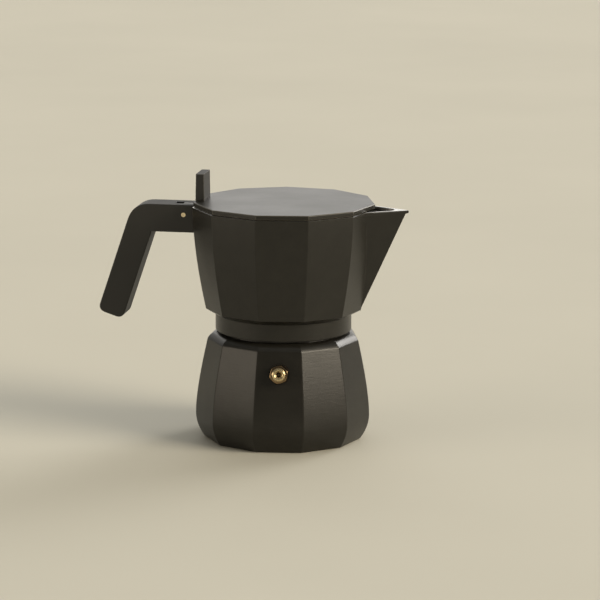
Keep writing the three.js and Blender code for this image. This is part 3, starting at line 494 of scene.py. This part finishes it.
# Valve, in its own frame: Z outward along its axis, zero at the washer's seat on the boiler
BOSS_TOP = 5.7 * MM
HEX_SIDES = 6
HEX_FLAT_R = 4.7 * MM
HEX_LOW, HEX_HIGH = 0.8 * MM, 4.2 * MM
HEX_SLOPE = math.tan(math.radians(28))  # of the cone that takes the corners off
HEX_DROP = 0.08 * MM  # from the flat face to where the cone meets the flats
HEX_EDGE = 0.1 * MM  # from the flats in to the flat face
VALVE_STEPS = 96
# The turned profile, in radius and height in millimetres: the boss from where it meets the hexagon's face
# to the vent's mouth, then the vent, the bore and the shank. Each curve bends towards a corner, ends at
# the next point and takes a number of steps.
BOSS_START = (3.62, 4.2)
BOSS_CURVES = (
    ((3.4, 4.2), (3.4, 4.5), 3),
    ((3.4, 4.7), (3.4, 4.88), 1),
    ((3.4, 5.7), (2.5, 5.7), 5),
    ((2.1, 5.7), (1.86, 5.3), 3),
    ((1.68, 5.0), (1.36, 4.8), 3),
)
VENT_CURVE = ((1.2, 4.66), (1.2, 4.35), 2)
SHANK = ((1.2, 3.8), (2.5, 3.8), (2.5, -6.05), (2.65, -6.2), (3.45, -6.2), (3.6, -6.05), (3.6, 0.8))


def bent(start, corner, end, steps):
    """The points of a curve after its start."""
    shares = [step / steps for step in range(1, steps + 1)]
    ways = [((1 - t) ** 2, 2 * t * (1 - t), t * t) for t in shares]
    return [tuple(a * p + b * q + c * r for p, q, r in zip(start, corner, end)) for a, b, c in ways]


def make_valve():
    """The safety valve's hexagon with a rounded boss, turned round its vent."""
    axis = Vector(JOINTS["valve_lift"]["axis"]).normalized()
    points = [vert.co for vert in frame["nodes"]["valve_body"].data.vertices]
    seat = [vert.co for vert in frame["nodes"]["valve_seat"].data.vertices]
    middle = (Vector(map(min, *seat)) + Vector(map(max, *seat))) / 2
    start = middle + (max((p - middle).dot(axis) for p in points) - BOSS_TOP) * axis
    corner = max(((p - start) - (p - start).dot(axis) * axis for p in points), key=lambda v: v.length)
    across = corner.normalized()
    other = axis.cross(across)
    form = bmesh.new()

    def ring(radius, height):
        found = []
        for k in range(VALVE_STEPS):
            turn = 2 * math.pi * k / VALVE_STEPS
            r, z = radius(turn), height(turn)
            point = start + r * math.cos(turn) * across + r * math.sin(turn) * other + z * axis
            found.append(form.verts.new(point))
        return found

    def hexagon(turn):
        sector = 2 * math.pi / HEX_SIDES
        return HEX_FLAT_R / math.cos((turn % sector) - sector / 2)

    def cone(turn):
        return HEX_HIGH - HEX_DROP - (hexagon(turn) - HEX_FLAT_R) * HEX_SLOPE

    rows = [ring(hexagon, lambda turn: HEX_LOW), ring(hexagon, cone)]
    rows.append(ring(lambda turn: HEX_FLAT_R - HEX_EDGE, lambda turn: HEX_HIGH))
    hex_rows = len(rows)
    profile = [BOSS_START]
    for corner, end, steps in BOSS_CURVES:
        profile += bent(profile[-1], corner, end, steps)
    boss_rows = hex_rows + len(profile) - 1
    profile += bent(profile[-1], *VENT_CURVE)
    for r, z in profile + list(SHANK):
        rows.append(ring(lambda turn: r * MM, lambda turn: z * MM))
    for row, (low, high) in enumerate(zip(rows, rows[1:] + rows[:1])):
        for k in range(VALVE_STEPS):
            after = (k + 1) % VALVE_STEPS
            face = form.faces.new((low[k], low[after], high[after], high[k]))
            # The hexagon's rows, the vent and the shank take the dark brass, a painted shade; the boss
            # keeps the bright brass.
            face.material_index = int(not hex_rows <= row < boss_rows)
    finishes = ("brass", "painted_shade_brass")
    piece = built("valve_hexagon", form, BODIES["valve_body"], SLOTS["valve_body"], finishes=finishes)
    piece.modifiers.new("face_normals", "WEIGHTED_NORMAL").keep_sharp = True
    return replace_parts(piece, "valve_body")


def compress(spring):
    """Gives a spring its own copy of its mesh."""
    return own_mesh(spring)


SIEVE_RINGS = 8
HOLE_R = 0.55 * MM
HOLE_SIDES = 10
DISC_SIDES = 120
IN_HOLE = 0.9  # share of a hole's radius that holds the middle of any triangle in the hole
KEPT_APART = 1e-6  # millimetres between two points that aren't merged


def sieve(node, name, border):
    """A thin disc in place of a CAD disc, with many fine holes in rings round its middle."""
    low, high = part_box(node)
    radius = (high.x - low.x) / 2
    pitch = (radius - border) / SIEVE_RINGS
    centres = [(0.0, 0.0)]
    for row in range(1, SIEVE_RINGS + 1):
        for k in range(6 * row):
            turn = 2 * math.pi * k / (6 * row)
            centres.append((row * pitch * math.cos(turn), row * pitch * math.sin(turn)))
    circles = [(x, y, HOLE_R, HOLE_SIDES) for x, y in centres] + [(0, 0, radius, DISC_SIDES)]
    points, lines = [], []
    for x, y, r, count in circles:
        start = len(points)
        for k in range(count):
            turn = 2 * math.pi * k / count
            points.append(Vector(((x + r * math.cos(turn)) / MM, (y + r * math.sin(turn)) / MM)))
            lines.append((start + k, start + (k + 1) % count))
    flat, _, triangles, *_ = delaunay_2d_cdt(points, lines, [], 0, KEPT_APART)
    form = bmesh.new()
    top = [form.verts.new((p.x * MM, p.y * MM, high.z)) for p in flat]
    bottom = [form.verts.new((p.x * MM, p.y * MM, low.z)) for p in flat]
    for triangle in triangles:
        middle = sum((flat[i] for i in triangle), Vector((0, 0))) / 3 * MM
        if any((middle - Vector(centre)).length < IN_HOLE * HOLE_R for centre in centres):
            continue
        form.faces.new([top[i] for i in triangle])
        form.faces.new([bottom[i] for i in reversed(triangle)])
    half = (low.z + high.z) / 2
    edges = [line for line in form.edges if line.is_boundary and line.verts[0].co.z > half]
    index = {vert: i for i, vert in enumerate(top)}
    for line in edges:
        a, b = (index[vert] for vert in line.verts)
        form.faces.new((top[a], top[b], bottom[b], bottom[a]))
    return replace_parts(built(name, form, BODIES[node], SLOTS[node], edge=0.1 * MM), node)


refined("boiler", "boiler_casting", edge=0.6 * MM, bare=bare_in_boiler)
threaded("neck_thread", "boiler", *NECK_THREAD)
make_valve()
refined("valve_washer", "valve_seal", edge=0.1 * MM)
refined("valve_seat", "valve_ring", edge=0.1 * MM)
# The whole stem takes the dark brass, a painted shade where it shows through the vent.
refined("valve_plunger", "valve_stem", edge=0.1 * MM, bare=lambda face: True, second="painted_shade_brass")
compress(refined("valve_spring", "valve_coil", edge=0.05 * MM))
refined("funnel", "funnel_sheet", edge=0.25 * MM)
sieve("funnel_disc", "funnel_sieve", border=2.4 * MM)
refined("gasket", "gasket_ring", edge=0.45 * MM)
sieve("filter_plate", "filter_sieve", border=2.8 * MM)
refined("collector", "collector_casting", edge=0.4 * MM, bare=bare_in_collector, crisp=rim_outside)
threaded("skirt_thread", "collector", *SKIRT_THREAD)
refined("column", "column_tube", edge=0.2 * MM)
refined("column_cap", "column_hood", edge=0.2 * MM)
refined("handle", "handle_moulding", edge=0.35 * MM)
refined("handle_screw", "handle_fastener", edge=0.1 * MM)
refined("hinge_pin", "hinge_rod", edge=0.15 * MM, bare=pin_end, second="polished_brass")
# The lid's and the knob's rounded edges take a lighter finish, a painted highlight.
refined("lid", "lid_plate", edge=0.25 * MM, edge_highlight="painted_highlight_coating")
refined("knob", "knob_block", edge=0.35 * MM, edge_highlight="painted_highlight_plastic")
refined("knob_screw_left", "knob_fastener_left", edge=0.08 * MM)
refined("knob_screw_right", "knob_fastener_right", edge=0.08 * MM)

# ---- Studio ----

FLOOR_HALF = 14
FLOOR_DARK = (0.560, 0.542, 0.465)
FLOOR_LIGHT = (0.590, 0.570, 0.490)


def make_floor():
    """A pale, matt floor, wide enough to fill the view."""
    shader = Shader("pale_floor")
    cloud = shader.noise(3)
    shader.link(shader.colours(cloud, (NOISE_LOW, FLOOR_DARK), (NOISE_HIGH, FLOOR_LIGHT)), "Base Color")
    shader.set(Roughness=0.85)
    mesh = bpy.data.meshes.new("floor")
    corners = [(-1, -1), (1, -1), (1, 1), (-1, 1)]
    mesh.from_pydata([(FLOOR_HALF * x, FLOOR_HALF * y, 0) for x, y in corners], [], [(0, 1, 2, 3)])
    mesh.materials.append(shader.material)
    floor = bpy.data.objects.new("floor", mesh)
    bpy.context.scene.collection.objects.link(floor)


# Broad lights of the room: azimuth anticlockwise from the spout, elevation, the angles where each
# is at its full and fades to nothing, all in degrees, and how much it adds to the room's own light.
ROOM = (0.13, 0.126, 0.114)
LIGHTS = (
    ("left_window", -148, 0, 6, 34, (3.1, 2.7, 2.15)),
    ("back_wall", 99, 17, 12, 48, (1.22, 1.19, 1.13)),
    ("right_window", -16, 24, 4, 22, (12.4, 11.0, 8.8)),
    ("right_back_window", 55, 24, 3, 19, (8.5, 8.2, 7.8)),
    ("ceiling", 90, 86, 5, 60, (0.32, 0.33, 0.32)),
)


def make_world():
    """The room's own light, and the broad lights added to it, each fading round its direction."""
    world = bpy.data.worlds.new("room")
    world.use_nodes = True
    tree = world.node_tree
    direction = add_node(tree, "TexCoord", {}).outputs["Generated"]
    total = ROOM
    for name, azimuth, elevation, full, none, colour in LIGHTS:
        a, e = math.radians(azimuth), math.radians(elevation)
        towards = (math.cos(a) * math.cos(e), math.sin(a) * math.cos(e), math.sin(e))
        dot = add_node(tree, "VectorMath", {0: direction, 1: towards}, operation="DOT_PRODUCT")
        inputs = {
            "Value": dot.outputs["Value"],
            "From Min": math.cos(math.radians(none)),
            "From Max": math.cos(math.radians(full)),
        }
        fade = add_node(tree, "MapRange", inputs, label=name, interpolation_type="SMOOTHSTEP")
        inputs = {0: colour, "Scale": fade.outputs["Result"]}
        light = add_node(tree, "VectorMath", inputs, operation="SCALE")
        inputs = {0: total, 1: light.outputs["Vector"]}
        total = add_node(tree, "VectorMath", inputs, operation="ADD").outputs["Vector"]
    tree.links.new(total, tree.nodes["Background"].inputs["Color"])
    bpy.context.scene.world = world


make_floor()
make_world()
make_camera()
bpy.context.scene.view_settings.view_transform = "Standard"
